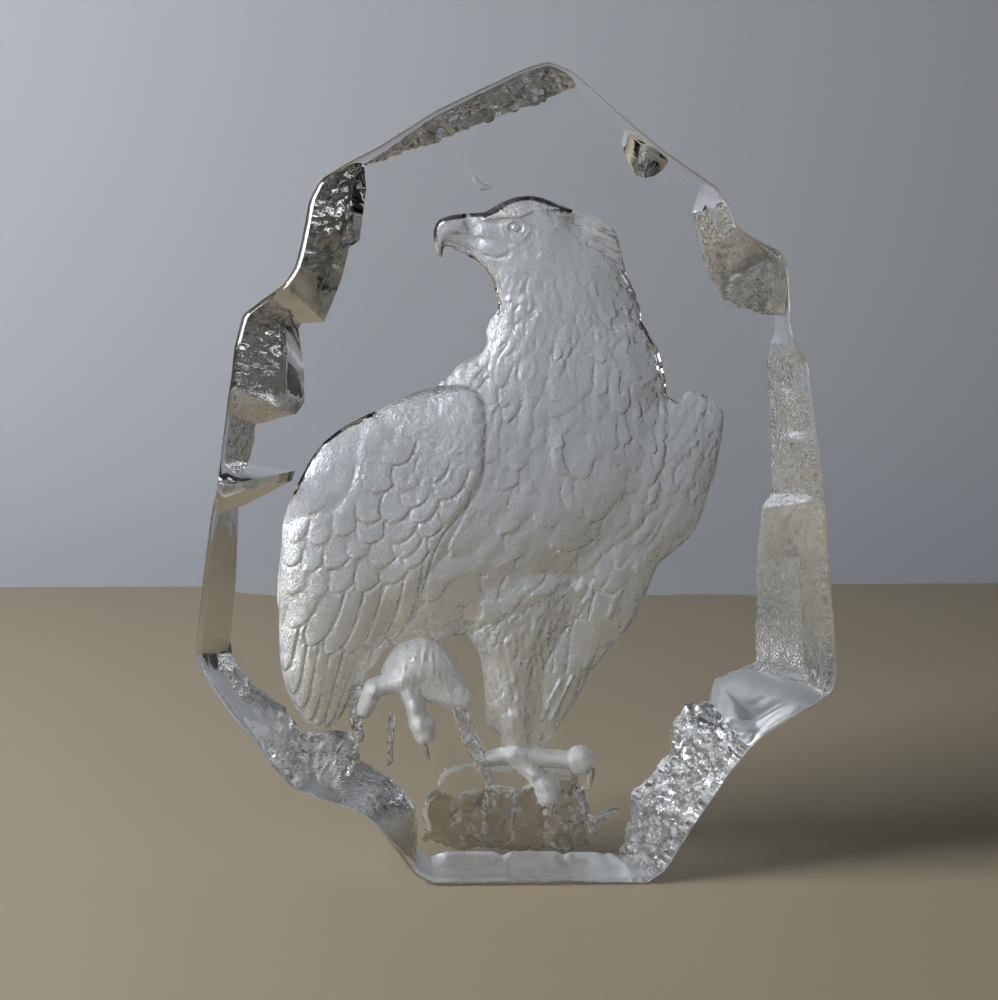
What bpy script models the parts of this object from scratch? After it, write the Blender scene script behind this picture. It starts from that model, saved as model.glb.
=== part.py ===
"""Crystal eagle paperweight: one block of clear glass with an eagle sunk into its back face.

The block stands upright on its flat base. Its front face looks towards -Y and is flat and polished.
Its rim is broken and stepped like ice, and draws in towards a smaller flat back face at +Y. The eagle
is a recess in that back face, so it is seen through the front as a raised figure.
Sizes in the tables are millimetres, as (x, z) seen from the front.
"""

import bpy
import numpy as np
from mathutils import Vector
from mathutils.geometry import delaunay_2d_cdt

# Driving dimensions, in millimetres and degrees
metresPerMillimetre = 0.001
blockDepth = 45.0
edgeRound = 3.0  # radius of the polished edge round the front face
cornerSoftness = 1.6  # how far the rim's corners are worn
baseWear = 0.4  # the wear that the flat base is cut back level by
rimSpacing = 5.2
roundRows, frontRows, backRows = 3, 3, 3
reliefSpan = (-74, 68)
reliefHeights = (1.5, 216)
reliefSpacing = 2.5
reliefClearance = 1.1  # how near a point may lie to the recess's edge
maskSpacing = 1.25
splineSpacing = 2.0
shortestLoop = 14.0
mergeDistance = 1e-6
farOutside = 1e9
sharpAngle = 35.0

# The glass
colour = (0.93, 0.95, 0.95, 1.0)
roughness = 0.02
refraction = 1.54

# How each stretch of the rim runs from front to back: the share of the depth where its ridge lies,
# and the share of the way in that it has come by there.
profiles = {
    "straight": (0.60, 0.60),
    "bevelled": (0.88, 0.70),
    "chipped": (0.68, 0.12),
    "shelf": (0.32, 0.16),
    "hollow": (0.55, 0.38),
    "base": (0.62, 0.00),
}

# The rim, clockwise from its top: (name, profile, stations), and each station is
# (front x, front z, back x, back z).
rim = [
    ("apex", "chipped", [(1.5, 228, 6.5, 221), (8, 230, 9, 222), (13.5, 228, 15, 225)]),
    ("right slope", "straight", [(16.5, 226, 16.5, 225.5), (28.5, 215.5, 28.5, 215.2)]),
    ("small scoop", "chipped", [(30.6, 213.8, 30.6, 212.9), (32.8, 212, 30.8, 207.6), (35.2, 210, 34.6, 200.6),
                                (38, 207.7, 39.8, 200.6), (40.6, 205.8, 43.4, 204)]),
    ("lower right slope", "straight", [(54.5, 196.5, 52.3, 196)]),
    ("upper chip", "straight", [(58, 192, 50.5, 190), (60, 186, 54, 177.5)]),
    ("lower chip", "bevelled", [(65, 182.5, 59.5, 166)]),
    ("chip tip", "chipped", [(72.5, 179, 64.5, 163.5), (74.5, 174.5, 72, 161.5)]),
    ("right edge", "straight", [(75.3, 164.5, 75, 161), (75.7, 157, 75, 156.2)]),
    ("right scoop", "hollow", [(77.5, 153, 74, 153), (80.5, 148.5, 73, 148), (83.5, 129, 74.5, 127.5)]),
    ("right step", "straight", [(84, 127, 74.5, 125.5), (86, 111.5, 75, 109)]),
    ("right ledge", "straight", [(86.2, 110, 72, 104.5), (86.6, 106.5, 72, 102)]),
    ("right wall", "hollow", [(87.5, 94, 71, 89), (90, 70, 71, 63.5), (90.6, 60, 71.5, 59.3)]),
    ("right shelf", "shelf", [(89, 54.5, 67.5, 57.5), (80.5, 49.5, 61.5, 55), (70, 43, 59, 54)]),
    ("broken corner", "straight", [(66, 39, 57.5, 47.5), (63.5, 35.5, 50.5, 46), (60.5, 32, 47, 40.5),
                                   (56.5, 25.5, 46, 31.5), (53, 20.5, 40.5, 25.5), (49.5, 15, 34.5, 19.5),
                                   (46, 9, 35, 15), (42.5, 3.5, 33, 7)]),
    ("base", "base", [(37.5, 0, 31, 0.3), (28, 0, 26.5, 0.9), (17, 0, 16.5, 1.7), (-3.5, 0, -3.5, 0.9),
                      (-20, 0, -20, 2.1), (-24, 0, -24.5, 0.5)]),
    ("lower left", "straight", [(-29, 2.2, -28.5, 4), (-32, 6.5, -28.5, 10), (-36.5, 12.5, -29, 16),
                                (-41.5, 18.5, -33, 21), (-46, 21.5, -36.5, 25)]),
    ("left shelves", "shelf", [(-52.5, 24, -45.5, 30), (-55.5, 25, -46, 34.5), (-58.5, 26, -48.5, 39)]),
    ("left hollow", "hollow", [(-61.5, 27, -56, 39), (-64.5, 29, -62, 39), (-69, 34, -64, 40.5)]),
    ("lower left slope", "hollow", [(-73, 40, -68, 46.5), (-81, 50, -75.5, 52), (-89, 62, -79.5, 57)]),
    ("left wall", "straight", [(-90.6, 67.5, -82.5, 62), (-90, 73.5, -83, 66), (-88.5, 85, -81, 84.5),
                               (-85.5, 106, -80, 105)]),
    ("left wedge", "straight", [(-85, 109, -74, 108), (-84, 111.5, -64.5, 113), (-83.5, 114, -63.5, 116)]),
    ("left band", "straight", [(-83, 118, -77, 118), (-82, 125.5, -75, 125), (-80.5, 135, -74.5, 129.5)]),
    ("left underside", "straight", [(-80, 139.5, -67.5, 131.5), (-79.5, 142, -63, 132.5)]),
    ("left facet", "bevelled", [(-79, 145, -60.5, 136), (-78, 153, -60.5, 145), (-75.5, 162, -62, 157)]),
    ("left notch", "straight", [(-69, 167, -61, 158.5), (-64, 170.5, -54.5, 159)]),
    ("middle facet", "bevelled", [(-61, 175, -49.5, 171), (-59.5, 180.5, -47, 180.5)]),
    ("upper facet", "bevelled", [(-58.5, 185, -44, 182.5), (-57, 193, -42, 197), (-54, 198.5, -42.5, 201.5)]),
    ("left slope", "chipped", [(-46.5, 203, -43, 203.5), (-38.5, 207, -37.5, 205), (-23, 216.5, -21, 210.5),
                               (-10.5, 222.5, -7, 216)]),
]

# The eagle's masses: outline, greatest depth, how far in from the outline it is reached, and how square
# the rise is (2 is an ellipse).
masses = {
    "right wing": ([(34, 140), (44, 137.6), (49.5, 138.9), (55, 137.8), (59.9, 134), (60.6, 129),
                    (57.8, 112.5), (53, 98.6), (43, 88.5), (37, 75.4), (31, 65.5), (23, 57), (15, 58), (13, 80), (26, 106)],
                   3.6, 11.0, 2.0),
    "tail": ([(23.5, 62), (22.9, 58), (18.8, 48.8), (14.4, 41.8), (10, 34.8), (6.5, 31.8), (3, 34.3), (4, 50),
              (8, 68)],
             3.4, 6.0, 2.2),
    "thigh": ([(20, 79), (16.2, 71.1), (9, 58.2), (8.4, 46), (5.5, 33), (1, 31.5), (-6, 38), (-8.6, 48),
               (-10.6, 62.2), (-14, 72), (-14, 82), (4, 90)],
              6.5, 7.0, 2.2),
    "body": ([(-21, 177.3), (-23, 182.8), (-22.4, 187), (-20, 189), (-15, 190), (-8.5, 190.6), (-3, 193.5),
              (2, 194.9), (7, 194.6), (14.5, 191.8), (25, 188), (29.5, 183.5), (31.5, 175), (35.3, 165),
              (37.5, 158), (42, 149.5), (44, 138), (44, 126.4), (41.2, 106.9), (34.5, 97.2), (27.7, 92.3),
              (13.1, 80.5), (4.4, 76.6), (-7.4, 70.7), (-22, 66), (-38, 66), (-48, 84), (-46, 104),
              (-38, 118), (-30, 132), (-20.5, 142), (-14.6, 147.8), (-9, 150.3), (-7.6, 157.5),
              (-4.6, 163.5), (-6.8, 170.8), (-10.7, 176.1), (-17, 179.8), (-20, 180.6)],
             9.5, 14.0, 2.0),
    "left wing": ([(-16, 141.2), (-28, 139), (-36.7, 135), (-47, 130), (-53, 126), (-58.5, 120),
                   (-66, 104.5), (-68, 92), (-68.7, 75), (-68.5, 60), (-66.5, 50.5), (-62, 42.5),
                   (-58, 40), (-53, 41), (-46, 51), (-38, 63), (-30, 72), (-26, 83), (-21.6, 96),
                   (-11.6, 108), (-8.8, 116), (-8, 127), (-8.6, 135), (-11, 139.5)],
                  9.0, 14.0, 2.2),
    "rock": ([(-25, 10), (-22.5, 24), (-13, 29), (3, 28.5), (16.5, 27.5), (20, 20), (21, 6), (9, 4.2),
              (-9, 4.6), (-20, 7)],
             2.6, 4.0, 2.0),
}

# Legs and toes: the two ends, the radius at each, and the depth.
limbs = [
    ((-32, 57.5), (-23, 58.5), 7.5, 7.5, 6.5),
    ((-34, 54), (-41.4, 51.6), 3.4, 3.0, 5.0),
    ((-41.4, 51.6), (-45.4, 39), 3.0, 2.0, 4.0),
    ((-31.5, 53.5), (-27.8, 41), 4.2, 3.3, 5.6),
    ((-27, 40.4), (-26.4, 37.8), 3.8, 3.2, 6.0),
    ((-26, 50.8), (-16.2, 48.4), 3.2, 4.0, 4.0),
    ((-16.2, 44.6), (-13.2, 36.5), 2.1, 2.6, 3.4),
    ((-13.2, 36.5), (-6.8, 22.4), 2.6, 1.6, 3.4),
    ((0.3, 42), (0.6, 33), 4.4, 4.2, 5.5),
    ((-1, 31.8), (-8.6, 30.2), 2.6, 2.3, 3.0),
    ((3, 31.2), (17, 29.9), 2.7, 2.6, 3.4),
    ((19.4, 30.2), (19.9, 29.2), 4.1, 4.1, 4.8),
    ((0.3, 31.5), (8.6, 23), 3.2, 3.1, 4.5),
    ((9.8, 21.8), (10.4, 18.8), 4.0, 3.6, 5.4),
    ((18.9, 20.2), (24, 7), 1.9, 1.8, 3.2),
]


def closedSpline(points, spacing):
    """A smooth closed curve through the points, sampled about every spacing."""
    knots = np.array(points, float)
    samples = []
    for i in range(len(knots)):
        before, start, end, after = (knots[(i + k) % len(knots)] for k in (-1, 0, 1, 2))
        count = max(1, round(np.linalg.norm(end - start) / spacing))
        t = (np.arange(count) / count)[:, None]
        samples.append(0.5 * (2 * start + (end - before) * t
                              + (2 * before - 5 * start + 4 * end - after) * t ** 2
                              + (3 * start - 3 * end + after - before) * t ** 3))
    return np.concatenate(samples)


def insideDistance(outline, x, z):
    """Distance from each point to a closed outline, above zero inside it."""
    nearest = np.full(x.shape, farOutside)
    inside = np.zeros(x.shape, bool)
    for (ax, az), (bx, bz) in zip(outline, np.roll(outline, -1, axis=0)):
        dx, dz = bx - ax, bz - az
        along = np.clip(((x - ax) * dx + (z - az) * dz) / (dx * dx + dz * dz), 0, 1)
        nearest = np.minimum(nearest, (x - ax - along * dx) ** 2 + (z - az - along * dz) ** 2)
        if az != bz:
            inside ^= ((az > z) != (bz > z)) & (x < ax + (z - az) * dx / dz)
    return np.sqrt(nearest) * np.where(inside, 1, -1)


def limbDistance(start, end, startRadius, endRadius, x, z):
    """Distance inside a round-ended bar whose radius changes along it, and the radius there."""
    dx, dz = end[0] - start[0], end[1] - start[1]
    along = np.clip(((x - start[0]) * dx + (z - start[1]) * dz) / (dx * dx + dz * dz), 0, 1)
    radius = startRadius + (endRadius - startRadius) * along
    return radius - np.hypot(x - start[0] - along * dx, z - start[1] - along * dz), radius


def rise(distance, reach, squareness):
    """The share of a mass's full depth at a distance in from its outline."""
    left = 1 - np.clip(distance / reach, 0, 1)
    return (1 - left ** squareness) ** (1 / squareness)


def eagle(x, z):
    """The recess at each point: distance inside its outline, and depth."""
    inside = np.full(x.shape, -farOutside)
    depth = np.zeros(x.shape)
    for points, fullDepth, reach, squareness in masses.values():
        distance = insideDistance(closedSpline(points, splineSpacing), x, z)
        inside = np.maximum(inside, distance)
        depth = np.maximum(depth, fullDepth * rise(distance, reach, squareness))
    for start, end, startRadius, endRadius, fullDepth in limbs:
        distance, radius = limbDistance(start, end, startRadius, endRadius, x, z)
        inside = np.maximum(inside, distance)
        depth = np.maximum(depth, fullDepth * rise(distance, radius, 2.0))
    return inside, depth


def zeroLoops(field, xs, zs):
    """The closed loops where a field sampled at zs by xs is zero."""
    links = {}

    def crossing(rowA, columnA, rowB, columnB):
        a, b = field[rowA, columnA], field[rowB, columnB]
        share = a / (a - b)
        return (xs[columnA] + (xs[columnB] - xs[columnA]) * share, zs[rowA] + (zs[rowB] - zs[rowA]) * share)

    above = field > 0
    count = above[:-1, :-1] * 1 + above[:-1, 1:] + above[1:, 1:] + above[1:, :-1]
    for row, column in zip(*np.nonzero((count > 0) & (count < 4))):
        corners = [(row, column), (row, column + 1), (row + 1, column + 1), (row + 1, column)]
        cuts = []
        for k in range(4):
            first, second = corners[k], corners[(k + 1) % 4]
            if above[first] != above[second]:
                cuts.append((tuple(sorted((first, second))), above[first]))
        if len(cuts) == 4 and not cuts[0][1]:
            cuts = cuts[1:] + cuts[:1]
        for k in range(0, len(cuts), 2):
            links.setdefault(cuts[k][0], []).append(cuts[k + 1][0])
            links.setdefault(cuts[k + 1][0], []).append(cuts[k][0])
    loops = []
    while links:
        first = next(iter(links))
        loop, key, previous = [], first, None
        while key in links:
            loop.append(crossing(*key[0], *key[1]))
            nextKeys = links.pop(key)
            onward = nextKeys[1] if nextKeys[0] == previous else nextKeys[0]
            previous, key = key, onward
        loop = np.array(loop)
        if np.linalg.norm(np.roll(loop, -1, axis=0) - loop, axis=1).sum() > shortestLoop:
            loops.append(loop)
    return loops


def resample(loop, spacing):
    """A closed loop redrawn with even steps of about the spacing."""
    closed = np.vstack([loop, loop[:1]])
    lengths = np.concatenate([[0], np.cumsum(np.linalg.norm(np.diff(closed, axis=0), axis=1))])
    count = max(6, round(lengths[-1] / spacing))
    at = np.arange(count) * lengths[-1] / count
    return np.stack([np.interp(at, lengths, closed[:, k]) for k in (0, 1)], axis=1)


def softened(ring, reach):
    """A ring of points with its corners rounded over about the reach."""
    steps = np.linalg.norm(np.roll(ring, -1, axis=0) - ring, axis=1)
    around = np.concatenate([[0], np.cumsum(steps)])
    total = around[-1]
    apart = (around[:-1, None] - around[None, :-1] + total / 2) % total - total / 2
    width = (steps + np.roll(steps, 1)) / 2
    weights = np.exp(-0.5 * (apart / reach) ** 2) * width[None, :]
    weights /= weights.sum(axis=1, keepdims=True)
    return weights @ ring


def rimRings():
    """The rim's rings of points, from the front face's edge to the back face's, each as x, z and depth."""
    fronts, backs, ridgeShares, ridgePulls = [], [], [], []
    stations = [(station, profiles[profile]) for _, profile, run in rim for station in run]
    for (now, nowProfile), (then, thenProfile) in zip(stations, stations[1:] + stations[:1]):
        now, then = np.array(now, float), np.array(then, float)
        apart = max(np.linalg.norm(then[:2] - now[:2]), np.linalg.norm(then[2:] - now[2:]))
        count = max(1, round(apart / rimSpacing))
        for k in range(count):
            t = k / count
            point = now + (then - now) * t
            fronts.append(point[:2])
            backs.append(point[2:])
            ridgeShares.append(nowProfile[0] + (thenProfile[0] - nowProfile[0]) * t)
            ridgePulls.append(nowProfile[1] + (thenProfile[1] - nowProfile[1]) * t)
    fronts, backs = softened(np.array(fronts), cornerSoftness), np.array(backs)
    fronts[fronts[:, 1] < baseWear, 1] = 0.0
    shares, pulls = np.array(ridgeShares), np.array(ridgePulls)[:, None]
    along = np.roll(fronts, -1, axis=0) - np.roll(fronts, 1, axis=0)
    inward = np.stack([along[:, 1], -along[:, 0]], axis=1) / np.linalg.norm(along, axis=1)[:, None]
    ridges = fronts + (backs - fronts) * pulls
    ridgeDepths = edgeRound + (blockDepth - edgeRound) * shares
    rings = []
    for k in range(roundRows + 1):
        angle = np.pi / 2 * k / roundRows
        depth = np.full(len(fronts), edgeRound * (1 - np.cos(angle)))
        rings.append((fronts + inward * edgeRound * (1 - np.sin(angle)), depth))
    for k in range(1, frontRows + 1):
        t = k / frontRows
        rings.append((fronts + (ridges - fronts) * t, edgeRound + (ridgeDepths - edgeRound) * t))
    for k in range(1, backRows + 1):
        t = k / backRows
        rings.append((ridges + (backs - ridges) * t, ridgeDepths + (blockDepth - ridgeDepths) * t))
    return rings


def filled(ring, loops=(), loose=()):
    """Triangles that fill a ring, keeping the loops' edges and using the loose points."""
    points, edges = list(ring), []
    for loop in loops:
        start, count = len(points), len(loop)
        points.extend(loop)
        edges.extend((start + i, start + (i + 1) % count) for i in range(count))
    points.extend(loose)
    outline = [list(range(len(ring)))[::-1]]
    made = delaunay_2d_cdt([Vector(p) for p in points], edges, outline, 0, mergeDistance, True)
    found, _, faces, origins, _, within = made
    back = [origin[0] for origin in origins]
    assert len(found) == len(points), "two points of the outline meet"
    return np.array(points), [tuple(back[v] for v in face) for face, own in zip(faces, within) if own]


def reliefPoints():
    """The recess's edge loops on the back face, and the points inside them on a triangular grid."""
    xs = np.arange(*reliefSpan, maskSpacing)
    zs = np.arange(*reliefHeights, maskSpacing)
    inside, _ = eagle(*np.meshgrid(xs, zs))
    loops = [resample(loop, reliefSpacing) for loop in zeroLoops(inside, xs, zs)]
    rowSpacing = reliefSpacing * np.sqrt(0.75)
    x, z = np.meshgrid(np.arange(*reliefSpan, reliefSpacing), np.arange(*reliefHeights, rowSpacing))
    x = x + (np.arange(len(x)) % 2)[:, None] * reliefSpacing / 2
    inside, _ = eagle(x, z)
    kept = inside > reliefClearance
    return loops, np.stack([x[kept], z[kept]], axis=1)


def blockMesh():
    """Corner points in metres and faces of the closed block."""
    rings = rimRings()
    count = len(rings[0][0])
    corners = [(x, depth, z) for flat, depths in rings for (x, z), depth in zip(flat, depths)]
    faces = []
    for row in range(len(rings) - 1):
        for i in range(count):
            a, b = row * count + i, row * count + (i + 1) % count
            faces.append((a, b, b + count, a + count))
    _, front = filled(rings[0][0])
    faces.extend(front)
    loops, loose = reliefPoints()
    points, back = filled(rings[-1][0], loops, loose)
    backStart = (len(rings) - 1) * count
    _, depths = eagle(points[:, 0], points[:, 1])
    depths[:count + sum(len(loop) for loop in loops)] = 0.0
    corners.extend((x, blockDepth - depth, z) for (x, z), depth in zip(points[count:], depths[count:]))
    faces.extend(tuple(backStart + v for v in face[::-1]) for face in back)
    corners = np.array(corners)
    corners[:, 1] -= blockDepth / 2
    corners[:, 0] -= (corners[:, 0].max() + corners[:, 0].min()) / 2
    return corners * metresPerMillimetre, faces


def crystal():
    """Clear lead crystal."""
    material = bpy.data.materials.new("lead_crystal")
    material.use_nodes = True
    shader = material.node_tree.nodes["Principled BSDF"]
    shader.inputs["Base Color"].default_value = colour
    shader.inputs["Metallic"].default_value = 0.0
    shader.inputs["Roughness"].default_value = roughness
    shader.inputs["IOR"].default_value = refraction
    shader.inputs["Transmission Weight"].default_value = 1.0
    return material


def main():
    for thing in list(bpy.data.objects):
        bpy.data.objects.remove(thing)
    corners, faces = blockMesh()
    mesh = bpy.data.meshes.new("crystal_block")
    mesh.from_pydata([tuple(corner) for corner in corners], [], faces)
    mesh.shade_smooth()
    mesh.set_sharp_from_angle(angle=np.radians(sharpAngle))
    block = bpy.data.objects.new("crystal_block", mesh)
    bpy.context.scene.collection.objects.link(block)
    block.data.materials.append(crystal())


main()
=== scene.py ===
import math
import bpy
import numpy as np
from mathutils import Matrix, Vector
from mathutils.geometry import delaunay_2d_cdt


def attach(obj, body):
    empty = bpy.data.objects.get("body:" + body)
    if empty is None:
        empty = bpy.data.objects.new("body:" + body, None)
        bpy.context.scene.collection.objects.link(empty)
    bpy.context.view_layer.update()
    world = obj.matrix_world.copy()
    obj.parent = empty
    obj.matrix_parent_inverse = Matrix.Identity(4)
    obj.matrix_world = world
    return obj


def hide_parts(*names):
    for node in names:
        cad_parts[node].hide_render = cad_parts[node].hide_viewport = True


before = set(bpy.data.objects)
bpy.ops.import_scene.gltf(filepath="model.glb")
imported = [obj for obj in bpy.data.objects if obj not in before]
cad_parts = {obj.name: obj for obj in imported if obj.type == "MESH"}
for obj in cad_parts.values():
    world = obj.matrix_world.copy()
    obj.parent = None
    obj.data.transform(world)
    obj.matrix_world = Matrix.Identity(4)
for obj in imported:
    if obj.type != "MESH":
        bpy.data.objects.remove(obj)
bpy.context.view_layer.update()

millimetre = 0.001

# Sizes in every table are millimetres, as x across and z up, seen from the polished front.
block = {
    "depth": 45.0,
    "edgeRound": 3.0,
    "cornerWear": 1.1,
    "inwardReach": 2.6,  # how far the direction inward is evened out along the edge
    "fineLumps": 3.5,  # how many times smaller the fine lumps are
    "rippleShare": 0.12,  # how fast ripples change from front to back, beside along the edge
    "raggedBack": 0.5,  # how far the back edge wanders
    "creaseAngle": 32,
    "rimSpacing": 0.95,
    "roundRows": 5,
    "frontRows": 18,
    "backRows": 13,
}

# how the rim runs from front to back: share of the depth at its ridge, and of the way in it has come there
rimProfiles = {
    "straight": (0.60, 0.60),
    "bevelled": (0.88, 0.70),
    "chipped": (0.68, 0.12),
    "shelf": (0.32, 0.16),
    "hollow": (0.55, 0.38),
    "base": (0.62, 0.00),
}

refraction = 1.53
bumpHeight = 0.4  # as a share of the grain's size

# colour (the dark tints of the broken, pebbled and satin looks and of the rock's fronts are painted shade,
# the slab's paler tint is painted light, and so is the whiter share of the look for legs, brow and tufts),
# size of the grain, share of pits, roughness where it is smooth and where it is rough, bump, and the share of
# clear glass, the rest being matte in the look's colour
crystalLooks = {
    "polished": ((1.0, 1.0, 1.0), 14.0, 0.0, 0.0, 0.012, 0.004, 1.0),
    # the broken look's darker blue-grey tint is painted shade
    "broken": ((0.66, 0.70, 0.77), 0.9, 0.35, 0.02, 0.12, 0.8, 1.0),
    "frosted": ((0.99, 0.995, 1.0), 0.8, 0.3, 0.30, 0.42, 1.0, 0.82),
    "cast": ((0.94, 0.97, 1.0), 1.6, 0.2, 0.0, 0.06, 0.08, 1.0),
    # the pebbled look's dark grey tint is painted shade
    "pebbled": ((0.34, 0.34, 0.31), 0.9, 0.6, 0.0, 0.05, 1.0, 0.88),
    # the satin look's darker blue-grey tint is painted shade
    "satin": ((0.42, 0.46, 0.52), 6.0, 0.0, 0.10, 0.24, 0.05, 0.72),
    # the rock's fronts: a dark olive tint as painted shade
    "shadedRock": ((0.42, 0.36, 0.26), 1.0, 0.4, 0.02, 0.14, 1.0, 0.62),
    # the rock's top blocks: a paler warm tint as painted light
    "slab": ((0.80, 0.75, 0.62), 1.0, 0.3, 0.01, 0.08, 0.5, 0.8),
    # the look of legs, brow and tufts: rougher frosting, with a whiter, less clear share that is painted
    # light
    "litFrosted": ((1.0, 1.0, 1.0), 0.8, 0.3, 0.45, 0.55, 1.0, 0.32),
    "ground": ((0.95, 0.97, 1.0), 1.2, 0.1, 0.02, 0.12, 0.2, 0.64),
}
crystalSlots = list(crystalLooks)

# how broken each finish is: height of its lumps, their size, share of fine lumps, material
rimFinishes = {
    "polished": (0.03, 9.0, 0.05, "polished"),
    "cast": (0.10, 5.0, 0.25, "cast"),
    "satin": (0.04, 6.0, 0.10, "satin"),
    "pebbled": (0.42, 1.9, 0.60, "pebbled"),
    "dimpled": (0.38, 3.2, 0.45, "pebbled"),
    "rippled": (0.26, 3.6, 0.30, "ground"),
    "broken": (0.40, 3.4, 0.55, "broken"),
    "jagged": (1.10, 5.2, 0.52, "broken"),
    "flinty": (0.60, 2.6, 0.60, "broken"),
    "chipped": (0.95, 3.6, 0.56, "pebbled"),
    "shattered": (1.30, 5.0, 0.58, "broken"),
}

# clockwise from the top: profile, finish (where there are two, towards the front and towards the back),
# then front x, front z, back x, back z of each station
rimRuns = {
    "apex": ("chipped", "polished", "jagged", [(1.5, 228, 6.5, 221), (8, 230, 9, 222), (13.5, 228, 15, 225)]),
    "right slope": ("straight", "polished", [(16.5, 226, 16.5, 225.5), (28.5, 215.5, 28.5, 215.2)]),
    "scoop": ("chipped", "polished", "cast", [(30.6, 213.8, 30.6, 212.9), (31.8, 212.8, 30.2, 210.4),
      (32.8, 212, 30.8, 207.6), (34, 211, 32.2, 204.6), (35.2, 210, 34.6, 200.6), (36.6, 208.8, 37.2, 200),
      (38, 207.7, 39.8, 200.6), (39.4, 206.6, 42, 202.2), (40.6, 205.8, 43.4, 204)]),
    "lower right slope": ("straight", "polished", [(54.5, 196.5, 52.3, 196)]),
    "upper chip": ("straight", "chipped", [(58, 192, 50.5, 190), (60, 186, 54, 177.5)]),
    "lower chip": ("bevelled", "chipped", "flinty", [(65, 182.5, 59.5, 166)]),
    "chip tip": ("chipped", "chipped", [(72.5, 179, 64.5, 163.5), (74.5, 174.5, 72, 161.5)]),
    "right edge": ("straight", "polished", [(75.3, 164.5, 75, 161), (75.7, 157, 75, 156.2)]),
    "right scoop": ("hollow", "dimpled", [(77.5, 153, 74, 153), (80.5, 148.5, 73, 148),
      (83.5, 129, 74.5, 127.5)]),
    "right step": ("straight", "pebbled", [(84, 127, 74.5, 125.5), (86, 111.5, 75, 109)]),
    "right ledge": ("straight", "broken", [(86.2, 110, 72, 104.5), (86.6, 106.5, 72, 102)]),
    "right wall": ("hollow", "pebbled", [(87.5, 94, 71, 89), (90, 70, 71, 63.5), (90.6, 60, 71.5, 59.3)]),
    "right shelf": ("shelf", "satin", [(89, 54.5, 67.5, 57.5), (80.5, 49.5, 61.5, 55), (70, 43, 59, 54)]),
    "broken corner": ("straight", "shattered", [(66, 39, 57.5, 47.5), (63.5, 35.5, 50.5, 46),
      (60.5, 32, 47, 40.5), (56.5, 25.5, 46, 31.5), (53, 20.5, 40.5, 25.5), (49.5, 15, 34.5, 19.5),
      (46, 9, 35, 15), (42.5, 3.5, 33, 7)]),
    "base": ("base", "rippled", [(37.5, 0, 31, 0.3), (33, 0, 28.5, 1.4), (28, 0, 26.5, 0.9),
      (26, 0, 24.5, 1.7), (17, 0, 16.5, 1.7), (15, 0, 14.5, 0.9), (12.5, 0, 12.5, 2), (-1, 0, -1, 2),
      (-3.5, 0, -3.5, 0.9), (-6, 0, -6, 2.1), (-20, 0, -20, 2.1), (-24, 0, -24.5, 0.5)]),
    "lower left": ("straight", "broken", [(-29, 2.2, -28.5, 4), (-32, 6.5, -28.5, 10), (-36.5, 12.5, -29, 16),
      (-41.5, 18.5, -33, 21), (-46, 21.5, -36.5, 25)]),
    "left shelves": ("shelf", "satin", "flinty", [(-52.5, 24, -45.5, 30), (-55.5, 25, -46, 34.5),
      (-58.5, 26, -48.5, 39)]),
    "left hollow": ("hollow", "jagged", [(-61.5, 27, -56, 39), (-64.5, 29, -62, 39), (-69, 34, -64, 40.5)]),
    "lower left slope": ("hollow", "cast", "broken", [(-73, 40, -68, 46.5), (-81, 50, -75.5, 52),
      (-89, 62, -79.5, 57)]),
    "left wall": ("straight", "cast", [(-90.6, 67.5, -82.5, 62), (-90, 73.5, -83, 66), (-88.5, 85, -81, 84.5),
      (-85.5, 106, -80, 105)]),
    "left wedge": ("straight", "cast", [(-85, 109, -74, 108), (-84, 111.5, -64.5, 113),
      (-83.5, 114, -63.5, 116)]),
    "left band": ("straight", "broken", [(-83, 118, -77, 118), (-82, 125.5, -75, 125),
      (-80.5, 135, -74.5, 129.5)]),
    "left underside": ("straight", "broken", [(-80, 139.5, -67.5, 131.5), (-79.5, 142, -63, 132.5)]),
    "left facet": ("bevelled", "flinty", "polished", [(-79, 145, -60.5, 136), (-78, 153, -60.5, 145),
      (-75.5, 162, -62, 157)]),
    "left notch": ("straight", "cast", [(-69, 167, -61, 158.5), (-64, 170.5, -54.5, 159)]),
    "middle facet": ("bevelled", "flinty", "polished", [(-61, 175, -49.5, 171), (-59.5, 180.5, -47, 180.5)]),
    "upper facet": ("bevelled", "flinty", "polished", [(-58.5, 185, -44, 182.5), (-57, 193, -42, 197),
      (-54, 198.5, -42.5, 201.5)]),
    "left slope": ("chipped", "polished", "jagged", [(-46.5, 203, -43, 203.5), (-38.5, 207, -37.5, 205),
      (-23, 216.5, -21, 210.5), (-10.5, 222.5, -7, 216)]),
}

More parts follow.
